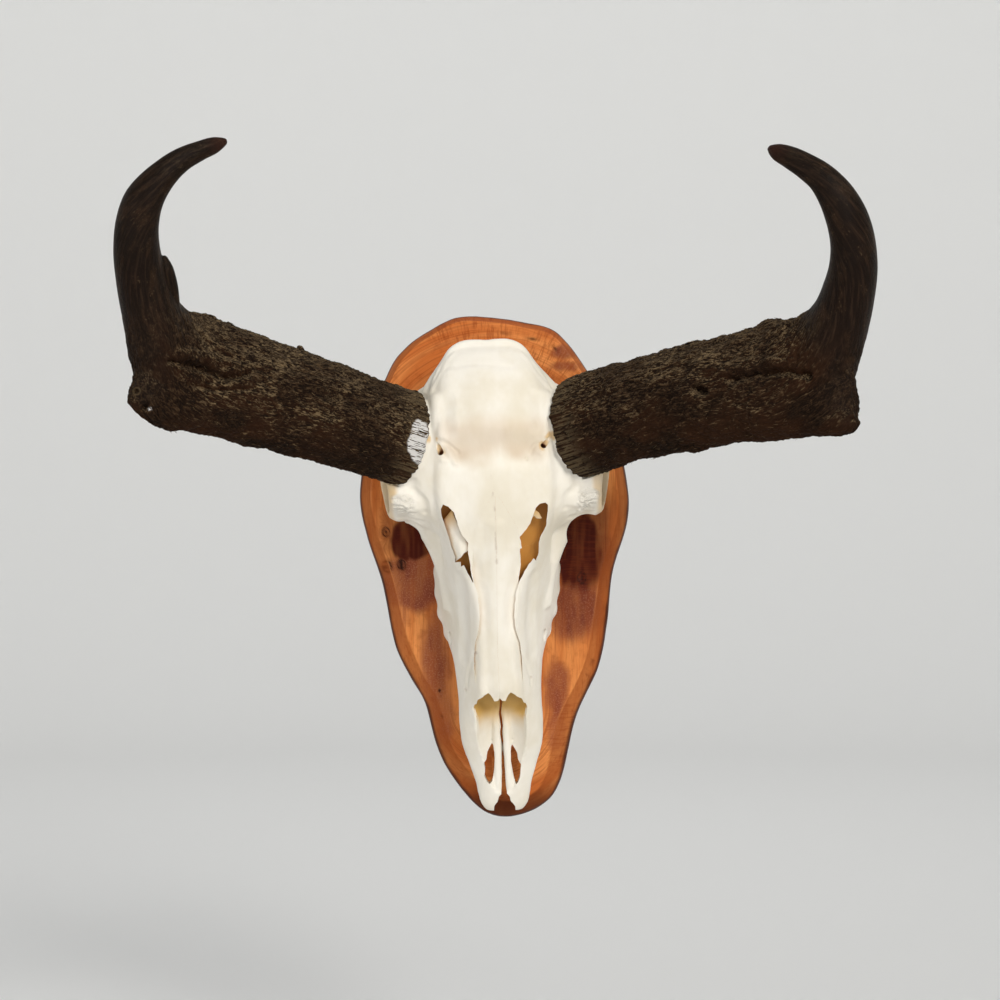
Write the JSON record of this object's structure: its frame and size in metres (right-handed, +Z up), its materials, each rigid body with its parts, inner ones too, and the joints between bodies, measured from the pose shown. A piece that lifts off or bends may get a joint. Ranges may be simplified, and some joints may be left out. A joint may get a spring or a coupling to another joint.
{
  "type": "pronghorn skull on a wall plaque",
  "caption": "Life-size pronghorn skull with spread, pronged horn sheaths, forehead outwards and nose down on a free-form wooden wall plaque.",
  "frame": {"origin": "middle of the plaque's flat back face, where it hangs against the wall", "axes": "+Z up the wall, towards the back of the skull; +Y into the wall; +X to the viewer's right; the forehead faces -Y"},
  "size_m": [0.411, 0.2783, 0.3963],
  "materials": {
    "bone": "dry, cleaned and whitened bone, matt with a faint sheen",
    "horn": "fibrous, bark-like horn sheath, dull at the base and softly polished at the tips",
    "plaque_wood": "glossy varnished red softwood with knots and dark heartwood"
  },
  "bodies": {
    "root": {"plaque": "plaque_wood", "cranium": "bone", "zygomatic_left": "bone", "zygomatic_right": "bone", "maxilla_left": "bone", "maxilla_right": "bone", "premaxilla_left": "bone", "premaxilla_right": "bone", "nasal_left": "bone", "nasal_right": "bone", "horn_shaft_left": "horn", "horn_prong_left": "horn", "horn_tine_left": "horn", "horn_shaft_right": "horn", "horn_prong_right": "horn", "horn_tine_right": "horn"}
  },
  "joints": []
}
